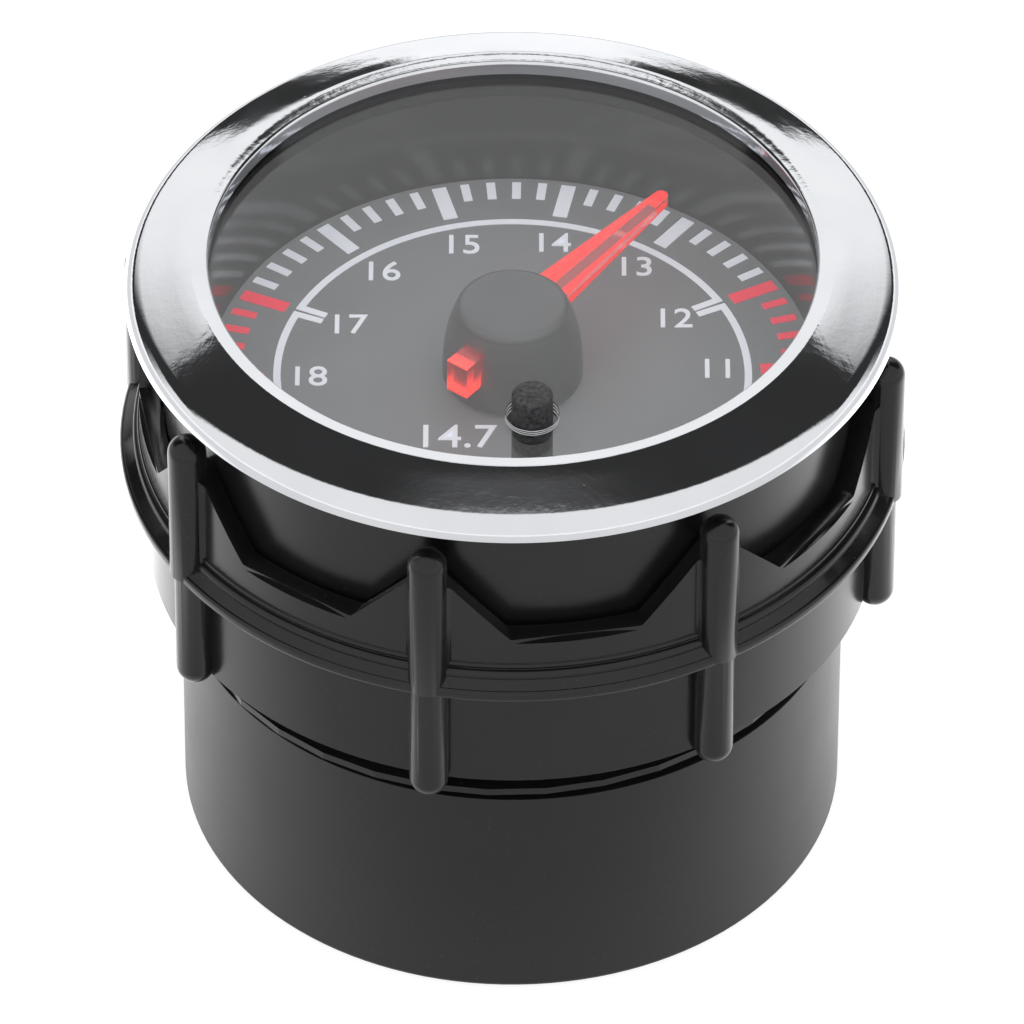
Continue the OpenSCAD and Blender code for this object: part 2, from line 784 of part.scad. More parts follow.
// The cut between two ribs, which is wider by the chamfer where it leaves the wall
module ring_notch() {
    lean = (notch_half_top - notch_half_w) / (ring_peak_z - notch_z);
    top_w = notch_half_top + lean * cut;
    for (part = [[0, 0], [crown_r - crown_edge, crown_edge]]) {
        low_w = notch_half_w + part[1] / 2;
        high_w = top_w + part[1];
        translate([part[0], 0, 0]) rotate([90, 0, 90]) linear_extrude(height = flange_r) polygon([
            [-low_w, notch_z - part[1]], [low_w, notch_z - part[1]],
            [high_w, ring_peak_z + cut], [-high_w, ring_peak_z + cut]]);
    }
}

// A rib: a rod above the flange and one below, and a splayed foot that joins the upper rod to the wall
module rib() {
    translate([rib_lower_r, 0, 0]) {
        translate([0, 0, rib_bottom_z + rib_r]) sphere(r = rib_r);
        bar(rib_r, rib_bottom_z + rib_r, step_top_z);
    }
    translate([rib_upper_r, 0, 0]) {
        bar(rib_r, flange_z + flange_edge, rib_top_z - rib_r);
        translate([0, 0, rib_top_z - rib_r]) sphere(r = rib_r);
    }
}

module rib_foot_block() {
    translate([0, 0, step_z]) linear_extrude(height = ring_peak_z - step_z) polygon([
        [crown_r - bury, -rib_r - rib_foot], [rib_upper_r, slip - rib_r], [rib_upper_r, rib_r - slip],
        [crown_r - bury, rib_r + rib_foot]]);
}

module mounting_ring() {
    color("#242424") union() {
        difference() {
            union() {
                rotate_extrude() polygon([
                    [ring_bore_r, ring_z + ring_edge], [ring_bore_r + ring_edge, ring_z],
                    [ring_r - ring_edge, ring_z], [ring_r, ring_z + ring_edge], [ring_r, flange_z],
                    [flange_r - flange_edge, flange_z], [flange_r, flange_z + flange_edge],
                    [flange_r, flange_top_z - flange_edge], [flange_r - flange_edge, flange_top_z],
                    [step_r, step_z], [step_r, step_top_z - step_edge], [step_r - step_edge, step_top_z],
                    [crown_r + root_out, step_top_z], [crown_r + root_out, step_z + root_h],
                    [crown_r, step_top_z + root_h], [crown_r, ring_peak_z], [crown_bore_r, ring_peak_z],
                    [crown_bore_r, crown_bore_z], [ring_bore_r, crown_bore_z]]);
                for (i = [0 : rib_count - 1]) rotate([0, 0, rib_angle + rib_pitch * i]) rib_foot_block();
            }
            for (i = [0 : rib_count - 1]) rotate([0, 0, rib_angle + rib_pitch * (i + 0.5)]) ring_notch();
        }
        for (i = [0 : rib_count - 1]) rotate([0, 0, rib_angle + rib_pitch * i]) rib();
    }
}

// Movement

module rotor_magnet() {
    color("#5a5a5e") tube(magnet_r, spindle_r, core_mid_z - magnet_h / 2, core_mid_z + magnet_h / 2);
}

module upper_bearing() {
    color("#b08d3c") tube(bearing_r, spindle_r + run_gap, upper_bearing_z, neck_top_z);
}

module lower_bearing() {
    color("#b08d3c") difference() {
        bar(bearing_r, lower_bearing_z, lower_bearing_z + bearing_h);
        bar(spindle_r + run_gap, lower_bearing_z + bearing_floor, lower_bearing_z + bearing_h + cut);
    }
}

module bobbin_upper() {
    color("#d9d4c4") difference() {
        union() {
            bar(core_r, core_mid_z, core_top_z);
            bar(neck_r, core_top_z - bury, neck_top_z);
        }
        bar(chamber_r, core_mid_z - cut, core_mid_z + chamber_half_h);
        bar(spindle_r + free_gap / 2, core_mid_z, neck_top_z);
        bar(bearing_r, upper_bearing_z, neck_top_z + cut);
    }
}

module bobbin_lower() {
    color("#d9d4c4") difference() {
        union() {
            bar(core_r, core_z, core_mid_z);
            bar(neck_r, base_z, core_z + bury);
            bar(base_r, base_z, base_z + base_t);
            around(pillar_angles, pillar_ring_r) bar(pillar_r, base_z, board_back_z);
        }
        bar(chamber_r, core_mid_z - chamber_half_h, core_mid_z + cut);
        bar(bearing_r, lower_bearing_z, core_mid_z);
        around(pillar_angles, pillar_ring_r)
            bar(movement_pin_r, board_back_z - movement_pin_depth, board_back_z + cut);
    }
}

// One coil: two closed windings side by side, one each side of the spindle's neck
module coil(z0, z1) {
    inside = core_r + coil_gap / 2;
    for (side = [-1, 1]) translate([0, side * (coil_inset + coil_w / 2), 0]) difference() {
        block(2 * (inside + coil_t), coil_w, z0, z1);
        block(2 * inside, coil_w + 2 * cut, z0 + coil_t, z1 - coil_t);
    }
}

module inner_coil() {
    color("#b5622f") coil(inner_coil_z, inner_coil_top_z);
}

module outer_coil() {
    color("#a85426") rotate([0, 0, 90]) coil(outer_coil_z, outer_coil_top_z);
}

module movement_shield() {
    color("#a9abad") difference() {
        bar(shield_r, shield_z, shield_top_z);
        bar(shield_r - shield_wall, base_z, shield_top_z + cut);
    }
}

module movement_pins() {
    color("#c9b37a") around(pillar_angles, pillar_ring_r)
        bar(movement_pin_r, board_back_z - movement_pin_depth, board_z + pin_stand);
}

// Boards

// The header's pins as a row, for the pins themselves and for their holes
module header_row(width, z0, z1) {
    rotate([0, 0, header_angle]) translate([header_ring_r, 0, 0])
        for (i = [0 : header_pins - 1]) translate([0, (i - (header_pins - 1) / 2) * header_pitch, 0])
            block(width, width, z0, z1);
}

module main_board() {
    color("#1f5a34") difference() {
        bar(board_r, board_back_z, board_z);
        bar(neck_r + free_gap / 2, board_back_z - cut, board_z + cut);
        around(ear_angles, ear_ring_r) bar(small_screw_r + fit_gap, board_back_z - cut, board_z + cut);
        around(pillar_angles, pillar_ring_r)
            bar(movement_pin_r + fit_gap, board_back_z - cut, board_z + cut);
        header_row(pin_w + pin_hole_gap, board_back_z - cut, board_z + cut);
    }
}

module board_screws() {
    color("#9a9a9a") around(ear_angles, ear_ring_r) translate([0, 0, board_back_z])
        screw(small_screw_r, small_screw_head_r, small_screw_head_h, small_screw_len);
}

module dial_lamps() {
    color("#f0ead2") around(lamp_angles, lamp_ring_r)
        block(lamp_size[0], lamp_size[1], board_z, board_z + lamp_size[2]);
}

module driver_chip() {
    top = board_back_z - chip_stand;
    color("#1a1a1a") translate([chip_x, 0, 0]) {
        block(chip_size[0], chip_size[1], top - chip_size[2], top);
        for (side = [-1, 1]) for (i = [0 : chip_leg_count - 1])
            translate([side * (chip_size[0] + chip_leg[0]) / 2 - side * bury / 2,
                (i - (chip_leg_count - 1) / 2) * chip_leg_pitch, 0])
                block(chip_leg[0] + bury, chip_leg[1], board_back_z - chip_leg[2], board_back_z);
    }
}

module resistors() {
    color("#26262a") around(resistor_angles, resistor_ring_r)
        block(resistor_size[0], resistor_size[1], board_z, board_z + resistor_size[2]);
}

module rear_board() {
    color("#1f5a34") difference() {
        bar(rear_board_r, rear_board_z, rear_board_top_z);
        around(case_screw_angles, post_ring_r)
            bar(small_screw_r + fit_gap, rear_board_z - cut, rear_board_top_z + cut);
        header_row(pin_w + pin_hole_gap, rear_board_z - cut, rear_board_top_z + cut);
        connector_row(pin_w + pin_hole_gap, rear_board_z - cut, rear_board_top_z + cut);
    }
}

module rear_board_screws() {
    color("#9a9a9a") around(case_screw_angles, post_ring_r) translate([0, 0, rear_board_top_z])
        rotate([180, 0, 0]) screw(small_screw_r, small_screw_head_r, small_screw_head_h, small_screw_len);
}

module link_header() {
    color("#202020") difference() {
        rotate([0, 0, header_angle]) translate([header_ring_r, 0, 0]) {
            block(header_size[1], header_size[0], rear_board_top_z, rear_board_top_z + header_size[2]);
            block(header_size[1], header_size[0], board_back_z - header_size[2], board_back_z);
        }
        header_row(pin_w, rear_board_z, board_z);
    }
}

module link_pins() {
    color("#c9b37a") header_row(pin_w, rear_board_z - pin_stand, board_z + pin_stand);
}

module capacitor() {
    color("#3a3f55") rotate([0, 0, capacitor_angle]) translate([capacitor_ring_r, 0, rear_board_top_z])
        rotate_extrude() polygon([
            [0, 0], [capacitor_r, 0], [capacitor_r, capacitor_base_h],
            [capacitor_r - capacitor_groove, capacitor_base_h + capacitor_groove],
            [capacitor_r, capacitor_base_h + 2 * capacitor_groove],
            [capacitor_r, capacitor_h - capacitor_groove], [capacitor_r - capacitor_groove, capacitor_h],
            [0, capacitor_h]]);
}

module regulator() {
    color("#2a2a2a") translate([regulator_at[0], regulator_at[1], 0]) {
        block(regulator_size[0], regulator_size[1], rear_board_top_z, rear_board_top_z + regulator_size[2]);
        translate([0, (regulator_size[1] + regulator_tab[1]) / 2 - bury, 0])
            block(regulator_tab[0], regulator_tab[1], rear_board_top_z, rear_board_top_z + regulator_tab[2]);
    }
}

// Connector

// The connector's pins as a row, for the pins themselves and for their holes
module connector_row(width, z0, z1) {
    for (i = [0 : pin_count - 1]) translate([(i - (pin_count - 1) / 2) * pin_pitch, shell_y, 0])
        block(width, width, z0, z1);
}

module connector_shell() {
    color("#e6e2d6") difference() {
        translate([0, shell_y, 0]) block(shell_w, shell_d, shell_z, rear_board_z);
        translate([0, shell_y, 0]) block(shell_w - 2 * shell_wall, shell_d - 2 * shell_wall,
            shell_z - cut, rear_board_z - shell_back);
        connector_row(pin_w, shell_z, rear_board_z + cut);
    }
}

module connector_pins() {
    color("#c9b37a") connector_row(pin_w, pin_tip_z, rear_board_top_z + pin_stand);
}

rear_cup();
front_housing();
mounting_ring();
bezel();
lens();
lens_gasket();
inner_wall();
dial_face();
dial_white_print();
dial_red_print();
light_guide();
main_board();
board_screws();
dial_lamps();
driver_chip();
resistors();
tact_switch();
switch_plunger();
button();
needle();
needle_foil();
pointer_hub();
hub_cap();
spindle();
rotor_magnet();
upper_bearing();
lower_bearing();
bobbin_upper();
bobbin_lower();
inner_coil();
outer_coil();
movement_shield();
movement_pins();
rear_board();
rear_board_screws();
link_header();
link_pins();
connector_shell();
connector_pins();
capacitor();
regulator();
case_screws();
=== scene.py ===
"""A round panel gauge with a pointer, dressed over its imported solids, in metres."""
import json
import math

import bmesh
import bpy
from mathutils import Matrix, Vector

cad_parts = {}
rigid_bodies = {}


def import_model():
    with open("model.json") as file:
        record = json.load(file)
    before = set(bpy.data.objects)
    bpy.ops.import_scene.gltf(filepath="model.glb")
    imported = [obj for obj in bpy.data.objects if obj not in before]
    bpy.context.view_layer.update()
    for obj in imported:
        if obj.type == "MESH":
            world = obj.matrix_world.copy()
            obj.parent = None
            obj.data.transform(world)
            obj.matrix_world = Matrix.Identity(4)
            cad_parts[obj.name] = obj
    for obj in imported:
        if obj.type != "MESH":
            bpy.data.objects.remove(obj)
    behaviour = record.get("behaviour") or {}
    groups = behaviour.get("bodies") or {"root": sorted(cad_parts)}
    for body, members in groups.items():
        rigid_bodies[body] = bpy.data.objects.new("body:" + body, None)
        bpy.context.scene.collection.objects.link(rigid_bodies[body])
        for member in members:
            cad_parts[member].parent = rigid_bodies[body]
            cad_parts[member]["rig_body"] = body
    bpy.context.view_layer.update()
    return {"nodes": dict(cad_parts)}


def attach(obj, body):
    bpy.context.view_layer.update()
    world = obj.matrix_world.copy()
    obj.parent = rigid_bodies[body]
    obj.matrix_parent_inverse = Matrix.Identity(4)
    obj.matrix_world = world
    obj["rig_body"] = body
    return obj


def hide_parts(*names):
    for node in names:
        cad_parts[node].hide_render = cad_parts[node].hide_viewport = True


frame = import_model()
nodes = frame["nodes"]

MM = 0.001

# Sizes in millimetres and angles in degrees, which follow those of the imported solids
PANEL_Z = 50.0
CASE_R = 26.0
RING_R = 28.4
CROWN_R = 29.0
APERTURE_R = 23.45
LENS_BACK_Z = 50.6
LENS_TOP_Z = 51.8
LENS_HOLE_R = 2.04
BUTTON_PLACE = (1.5, -17.1)
DIAL_Z = 40.4
DIAL_TURN = 1.9
POINTER_ANGLE = 52.3
POINTER_BACK_Z = 43.2
POINTER_Z = 46.0
HUB_Z = 40.8
HUB_BASE_R = 5.45
HUB_POWER = 2.6
HUB_CAVITY_R = 3.5
CAP_Z = 47.6
CAP_TOP_R = 4.15

# A rounding is given as the radius and height of its centre, its own radius, its first and last
# angle and its number of steps; a point is given as its radius and height

# The bezel's rim: its rounded crown, its slope, the lip that falls to the lens, and its seat behind
RIM_ROUNDING = (28.0, 49.85, 2.0, 4.3, 71.6, 22)
SLOPE_FOOT = (27.6, 52.093)
SLOPE_MIDDLE = (26.2, 52.557)
SLOPE_TOP = (24.8, 53.023)
LIP_START = (24.7, 53.045)
LIP_PEAK = (24.6, 53.05)
LIP_END = (24.2, 53.015)
NOSE_ROUNDING = (23.72, 52.70, 0.27, 85, 180, 8)
SEAT_R = 25.85
SEAT_Z = 51.2
SKIRT_R = 28.4
SKIRT_Z = 50.3
BORE_R = 27.4

# The ring's flange: its nose, the step over it, and the bead at the foot of the crown
ROLL_BORE_R = 28.6
FLANGE_BACK_Z = 34.2
FLANGE_NOSE_R = 30.2
NOSE_LOW_ROUNDING = (FLANGE_NOSE_R, 34.55, 0.349, -90, 0, 6)
NOSE_HIGH_ROUNDING = (FLANGE_NOSE_R, 34.85, 0.349, 0, 85, 8)
STEP_FOOT = (29.55, 35.24)
STEP_ROUNDING = (29.13, 35.92, 0.42, 0, 85, 8)
STEP_SHELF = (29.10, 36.36)
BEAD_ROUNDING = (29.0, 36.66, 0.2, -35, 80, 8)
BEAD_TOP = (29.01, 36.9)

# The hub's cap: its top edge, and the steps down its swelling flank
CAP_ROUND = 0.7
CAP_ROUNDING = (3.72, CAP_Z - CAP_ROUND, CAP_ROUND, 5, 88, 10)
CAP_MIDDLE_R = 2.0
CAP_FLANK_STEPS = 24
CAP_SHARP_ANGLE = 50

# Numbers printed on the dial, from the left end of its scale to the right
SCALE_WORDS = ("18", "17", "16", "15", "14", "13", "12", "11")
SCALE_STEP = 25.714
SCALE_FIGURE_H = 2.3
NUMBER_R = 15.9
# The two numbers beside the hooks of the arc stand nearer the middle
HOOKED_WORDS = ("17", "12")
HOOKED_NUMBER_R = 14.1
BALANCE_WORDS = "14.7"
BALANCE_FIGURE_H = 2.7
BALANCE_PLACE = (-4.4, -7.6)
PRINT_T = 0.06
PRINT_SPREAD = 0.02
CAPITAL_SHARE = 0.72
FIGURE_STEPS = 6

# Softened edges: how wide they are, and the least angle between two faces that is softened
RING_SOFT = 0.12
CUP_SOFT = 0.1
BUTTON_SOFT = 0.08
SOFT_STEPS = 2
SOFT_ANGLE = 32
# Faces that meet at less than this are one flat face
FLAT_ANGLE = 0.4
# A face belongs to a round wall if its normal rises less than this, and its corners are this near
# the wall
WALL_TILT = 0.2
WALL_LIMIT = 0.03

# Turned pieces: the steps of a full turn, and the angle at which a corner stays crisp
TURN_STEPS = 240
HOLE_TURN_STEPS = 72
SHARP_ANGLE = 35

# The small step by which a shape stands clear of, or reaches past, the face beside it
HAIR = 0.01
# Vertices closer than these are one vertex, in metres: of a solid, and of a turned piece
WELD = 1e-6
TURN_WELD = 1e-7

# A wave texture of scale 1 repeats after this many metres
WAVE_LENGTH = 2 * math.pi / 20

# The camera: its place in millimetres, its tilt and roll in degrees, and the rest as Blender has it
CAMERA_PLACE = (-0.0156, -705.2, 648.4)
CAMERA_TILT = 48.60
CAMERA_ROLL = 0.18
CAMERA_LENS = 421.9
CAMERA_SENSOR = 36
CAMERA_NEAR = 0.05
CAMERA_FAR = 20


def linear(hex_colour):
    """An sRGB hex colour as the linear one that a shader's socket takes."""
    parts = [int(hex_colour[i:i + 2], 16) / 255 for i in (1, 3, 5)]
    return tuple(c / 12.92 if c <= 0.04045 else ((c + 0.055) / 1.055) ** 2.4 for c in parts) + (1.0,)


def add(tree, kind, inputs=None, **settings):
    """Adds a node; each input is a value, or another node's output that is linked to it."""
    made = tree.nodes.new(kind)
    for name, value in settings.items():
        setattr(made, name, value)
    for name, value in (inputs or {}).items():
        if isinstance(value, bpy.types.NodeSocket):
            tree.links.new(value, made.inputs[name])
        else:
            made.inputs[name].default_value = value
    return made


def finish(name, **fixed):
    """A material with its shader's plain values set; also gives its tree, shader and coordinates."""
    made = bpy.data.materials.new(name)
    made.use_nodes = True
    tree = made.node_tree
    tree.nodes.clear()
    fixed = {key.replace("_", " "): value for key, value in fixed.items()}
    shader = add(tree, "ShaderNodeBsdfPrincipled", fixed)
    add(tree, "ShaderNodeOutputMaterial", {"Surface": shader.outputs[0]})
    return made, tree, shader, add(tree, "ShaderNodeTexCoord").outputs["Object"]


# Specks of dust: how far apart they are, in millimetres, and where a speck fades out and is full,
# as shares of that
DUST_SPACING = 0.9
DUST_EDGE = 0.10
DUST_CORE = 0.03
# The part of a noise's range over which one tone turns to the other, and the roughness wanders
TONE_LOW = 0.35
TONE_HIGH = 0.65
WANDER_LOW = 0.3
WANDER_HIGH = 0.7


def surface(name, colour, shade, rough, spread, grain, depth, patch=9.0, dust=0.0,
            dust_colour="#8a8a8a", **fixed):
    """A finish with its colour and roughness in soft patches, a fine relief, and specks of dust.

    grain, depth and patch are in millimetres; spread is how far the roughness wanders. Real
    moulding grain is finer than a tenth of a millimetre, and is drawn as coarse as it needs to be
    to show."""
    made, tree, shader, place = finish(name, **fixed)
    broad = add(tree, "ShaderNodeTexNoise",
                {"Vector": place, "Scale": 1 / (patch * MM), "Detail": 4.0})
    fine = add(tree, "ShaderNodeTexNoise",
               {"Vector": place, "Scale": 1 / (grain * MM), "Detail": 2.0})
    patches = add(tree, "ShaderNodeMapRange",
                  {"Value": broad.outputs[0], "From Min": TONE_LOW, "From Max": TONE_HIGH})
    tint = add(tree, "ShaderNodeMix",
               {"Factor": patches.outputs[0], 6: linear(colour), 7: linear(shade)}, data_type="RGBA")
    tone = tint.outputs[2]
    if dust:
        speck = add(tree, "ShaderNodeTexVoronoi", {"Vector": place, "Scale": 1 / (DUST_SPACING * MM)})
        near = add(tree, "ShaderNodeMapRange",
                   {"Value": speck.outputs["Distance"], "From Min": DUST_EDGE,
                    "From Max": DUST_CORE, "To Max": dust})
        tone = add(tree, "ShaderNodeMix",
                   {"Factor": near.outputs[0], 6: tone, 7: linear(dust_colour)},
                   data_type="RGBA").outputs[2]
    wander = add(tree, "ShaderNodeMapRange",
                 {"Value": broad.outputs[0], "From Min": WANDER_LOW, "From Max": WANDER_HIGH,
                  "To Min": rough - spread, "To Max": rough + spread})
    relief = add(tree, "ShaderNodeBump",
                 {"Height": fine.outputs[0], "Distance": depth * MM, "Strength": 1.0})
    tree.links.new(tone, shader.inputs["Base Color"])
    tree.links.new(wander.outputs[0], shader.inputs["Roughness"])
    tree.links.new(relief.outputs[0], shader.inputs["Normal"])
    return made


# Finishes

def chromed_abs():
    """Chrome plate over moulded ABS: a mirror with hair scratches and a few pits from handling."""
    # Widths and depths in millimetres; the heights are shares of the relief's depth
    haze_width = 6
    line_pitch = 0.25
    line_stretch = 5
    line_height = 0.35
    pit_spacing = 1.3
    ripple_width = 1.1
    ripple_height = 2.2
    relief_depth = 0.004
    made, tree, shader, place = finish("chrome_plate_on_abs", Metallic=1.0)
    haze = add(tree, "ShaderNodeTexNoise",
               {"Vector": place, "Scale": 1 / (haze_width * MM), "Detail": 5.0})
    tint = add(tree, "ShaderNodeMix",
               {"Factor": haze.outputs[0], 6: linear("#f4f5f7"), 7: linear("#e6e9ee")},
               data_type="RGBA")
    # Polishing lines run round the rim, a quarter of a millimetre apart, as fine as the render shows
    split = add(tree, "ShaderNodeSeparateXYZ", {0: place})
    square_x = add(tree, "ShaderNodeMath",
                   {0: split.outputs[0], 1: split.outputs[0]}, operation="MULTIPLY")
    square = add(tree, "ShaderNodeMath",
                 {0: split.outputs[1], 1: split.outputs[1], 2: square_x.outputs[0]},
                 operation="MULTIPLY_ADD")
    radius = add(tree, "ShaderNodeMath", {0: square.outputs[0]}, operation="SQRT")
    turn = add(tree, "ShaderNodeMath",
               {0: split.outputs[1], 1: split.outputs[0]}, operation="ARCTAN2")
    around = add(tree, "ShaderNodeMath",
                 {0: turn.outputs[0], 1: line_stretch * MM}, operation="MULTIPLY")
    polar = add(tree, "ShaderNodeCombineXYZ",
                {0: radius.outputs[0], 1: around.outputs[0], 2: split.outputs[2]})
    lines = add(tree, "ShaderNodeTexNoise",
                {"Vector": polar.outputs[0], "Scale": 1 / (line_pitch * MM), "Detail": 3.0})
    pits = add(tree, "ShaderNodeTexVoronoi", {"Vector": place, "Scale": 1 / (pit_spacing * MM)})
    pit = add(tree, "ShaderNodeMapRange",
              {"Value": pits.outputs["Distance"], "From Min": 0.03, "From Max": 0.10,
               "To Min": 0.55, "To Max": 1.0})
    height = add(tree, "ShaderNodeMath",
                 {0: lines.outputs[0], 1: line_height, 2: pit.outputs[0]},
                 operation="MULTIPLY_ADD")
    # The moulding under the plate ripples a little, which frays the edges of what it mirrors
    ripple = add(tree, "ShaderNodeTexNoise",
                 {"Vector": place, "Scale": 1 / (ripple_width * MM), "Detail": 3.0,
                  "Roughness": 0.6})
    height = add(tree, "ShaderNodeMath",
                 {0: ripple.outputs[0], 1: ripple_height, 2: height.outputs[0]},
                 operation="MULTIPLY_ADD")
    relief = add(tree, "ShaderNodeBump",
                 {"Height": height.outputs[0], "Distance": relief_depth * MM, "Strength": 1.0})
    rough = add(tree, "ShaderNodeMapRange",
                {"Value": haze.outputs[0], "From Min": WANDER_LOW, "From Max": WANDER_HIGH,
                 "To Min": 0.03, "To Max": 0.09})
    tree.links.new(tint.outputs[2], shader.inputs["Base Color"])
    tree.links.new(rough.outputs[0], shader.inputs["Roughness"])
    tree.links.new(relief.outputs[0], shader.inputs["Normal"])
    return made


def clear_acrylic():
    """Cast acrylic sheet: clear, faintly grey, with a polished face and a few wipe marks.

    It lets the lamps' light straight through, so that the dial is lit as plainly as the rest."""
    smear_width = 7
    made, tree, shader, place = finish("clear_acrylic", IOR=1.49, Transmission_Weight=1.0)
    rays = add(tree, "ShaderNodeLightPath")
    unbent = add(tree, "ShaderNodeMath",
                 {0: rays.outputs["Is Shadow Ray"], 1: rays.outputs["Is Diffuse Ray"]},
                 operation="MAXIMUM")
    through = add(tree, "ShaderNodeBsdfTransparent")
    pane = add(tree, "ShaderNodeMixShader",
               {0: unbent.outputs[0], 1: shader.outputs[0], 2: through.outputs[0]})
    tree.links.new(pane.outputs[0], tree.nodes["Material Output"].inputs["Surface"])
    smear = add(tree, "ShaderNodeTexNoise",
                {"Vector": place, "Scale": 1 / (smear_width * MM), "Detail": 3.0})
    rough = add(tree, "ShaderNodeMapRange",
                {"Value": smear.outputs[0], "From Min": 0.55, "From Max": 0.8,
                 "To Min": 0.0, "To Max": 0.02})
    tint = add(tree, "ShaderNodeMix",
               {"Factor": smear.outputs[0], 6: linear("#fbfcfc"), 7: linear("#f2f4f5")},
               data_type="RGBA")
    tree.links.new(tint.outputs[2], shader.inputs["Base Color"])
    tree.links.new(rough.outputs[0], shader.inputs["Roughness"])
    return made


def cut_acrylic():
    """A turned hole's wall in clear acrylic: bright and dark lines round it that waver a little,
    painted highlights and shade that also glow.
    """
    line_pitch = 0.35
    made, tree, shader, place = finish("cut_acrylic_edge", IOR=1.49, Emission_Strength=0.25)
    lines = add(tree, "ShaderNodeTexWave",
                {"Vector": place, "Scale": WAVE_LENGTH / (line_pitch * MM), "Distortion": 1.2,
                 "Detail": 2.0, "Detail Scale": 3.0}, bands_direction="Z")
    tone = add(tree, "ShaderNodeMapRange",
               {"Value": lines.outputs[1], "From Min": 0.45, "From Max": 0.75})
    tint = add(tree, "ShaderNodeMix",
               {"Factor": tone.outputs[0], 6: linear("#1c1d20"), 7: linear("#fafbfd")},
               data_type="RGBA")
    tree.links.new(tint.outputs[2], shader.inputs["Base Color"])
    tree.links.new(tint.outputs[2], shader.inputs["Emission Color"])
    rough = add(tree, "ShaderNodeMapRange",
                {"Value": lines.outputs[1], "To Min": 0.15, "To Max": 0.35})
    tree.links.new(rough.outputs[0], shader.inputs["Roughness"])
    return made


def red_acrylic():
    """Fluorescent red acrylic that shows the foil under it, with a painted glow that is brightest at
    the tail.
    """
    streak_width = 1.5
    # Painted glow: the emission is brightest at the tail's foot and outer top, and the thin blade
    # keeps only a little of it. Each pair is where a glow starts and where it is full, in
    # millimetres: the first and third up from the rear face, the others along the pointer from its
    # spindle.
    top_glow = (POINTER_Z - 0.08, POINTER_Z - 0.04)
    end_glow = (-5.7, -6.2)
    foot_glow = (POINTER_BACK_Z + 1.7, POINTER_BACK_Z + 0.2)
    tail_glow = (-4.0, -5.0)
    made, tree, shader, place = finish("fluorescent_red_acrylic", IOR=1.49,
                                       Transmission_Weight=0.9, Emission_Strength=1.0)
    split = add(tree, "ShaderNodeSeparateXYZ", {0: place})
    aim = (math.cos(math.radians(POINTER_ANGLE)), math.sin(math.radians(POINTER_ANGLE)), 0.0)
    along = add(tree, "ShaderNodeVectorMath", {0: place, 1: aim}, operation="DOT_PRODUCT")
    up = split.outputs[2]
    outward = along.outputs["Value"]
    share = None
    for source, (start, end), how in ((up, top_glow, "MULTIPLY"), (outward, end_glow, "MULTIPLY"),
                                      (up, foot_glow, "MAXIMUM"), (outward, tail_glow, "MULTIPLY")):
        step = add(tree, "ShaderNodeMapRange",
                   {"Value": source, "From Min": start * MM, "From Max": end * MM},
                   interpolation_type="SMOOTHSTEP")
        share = step if share is None else add(
            tree, "ShaderNodeMath", {0: share.outputs[0], 1: step.outputs[0]}, operation=how)
    glow = add(tree, "ShaderNodeMix",
               {"Factor": share.outputs[0], 6: linear("#48120c"), 7: linear("#f83e30")},
               data_type="RGBA")
    tree.links.new(glow.outputs[2], shader.inputs["Emission Color"])
    streak = add(tree, "ShaderNodeTexNoise",
                 {"Vector": place, "Scale": 1 / (streak_width * MM), "Detail": 2.0})
    tint = add(tree, "ShaderNodeMix",
               {"Factor": streak.outputs[0], 6: linear("#ff9ca2"), 7: linear("#ff848a")},
               data_type="RGBA")
    rough = add(tree, "ShaderNodeMapRange",
                {"Value": streak.outputs[0], "To Min": 0.03, "To Max": 0.12})
    tree.links.new(tint.outputs[2], shader.inputs["Base Color"])
    tree.links.new(rough.outputs[0], shader.inputs["Roughness"])
    return made


def copper_winding():
    """Enamelled copper wire, wound side by side: orange brown, with grooves between the turns painted
    darker as shade and the turns' crowns painted lighter as highlights.

    Each 0.12 mm turn is drawn 0.3 mm wide, as coarse as it needs to be to show."""
    turn_pitch = 0.3
    groove_depth = 0.06
    made, tree, shader, place = finish("enamelled_copper_wire", Metallic=0.7)
    turns = add(tree, "ShaderNodeTexWave",
                {"Vector": place, "Scale": WAVE_LENGTH / (turn_pitch * MM), "Distortion": 0.4},
                bands_direction="Z")
    tint = add(tree, "ShaderNodeMix",
               {"Factor": turns.outputs[1], 6: linear("#6e3214"), 7: linear("#c4713a")},
               data_type="RGBA")
    rough = add(tree, "ShaderNodeMapRange",
                {"Value": turns.outputs[1], "To Min": 0.25, "To Max": 0.4})
    relief = add(tree, "ShaderNodeBump",
                 {"Height": turns.outputs[1], "Distance": groove_depth * MM, "Strength": 1.0})
    tree.links.new(tint.outputs[2], shader.inputs["Base Color"])
    tree.links.new(rough.outputs[0], shader.inputs["Roughness"])
    tree.links.new(relief.outputs[0], shader.inputs["Normal"])
    return made


def solder_mask():
    """Green solder mask on a glass board: glossy, with the copper tracks paler under it."""
    track_tile = 10
    weave_width = 0.4
    track_height = 0.03
    made, tree, shader, place = finish("green_solder_mask", Specular_IOR_Level=0.6)
    tracks = add(tree, "ShaderNodeTexBrick",
                 {"Vector": place, "Scale": 1 / (track_tile * MM), "Mortar Size": 0.04,
                  "Brick Width": 0.5, "Row Height": 0.18, "Color1": linear("#14502e"),
                  "Color2": linear("#17582f"), "Mortar": linear("#2a7a45")})
    weave = add(tree, "ShaderNodeTexNoise",
                {"Vector": place, "Scale": 1 / (weave_width * MM), "Detail": 2.0})
    rough = add(tree, "ShaderNodeMapRange",
                {"Value": weave.outputs[0], "To Min": 0.22, "To Max": 0.38})
    relief = add(tree, "ShaderNodeBump",
                 {"Height": tracks.outputs["Fac"], "Distance": track_height * MM, "Strength": 1.0})
    tree.links.new(tracks.outputs["Color"], shader.inputs["Base Color"])
    tree.links.new(rough.outputs[0], shader.inputs["Roughness"])
    tree.links.new(relief.outputs[0], shader.inputs["Normal"])
    return made


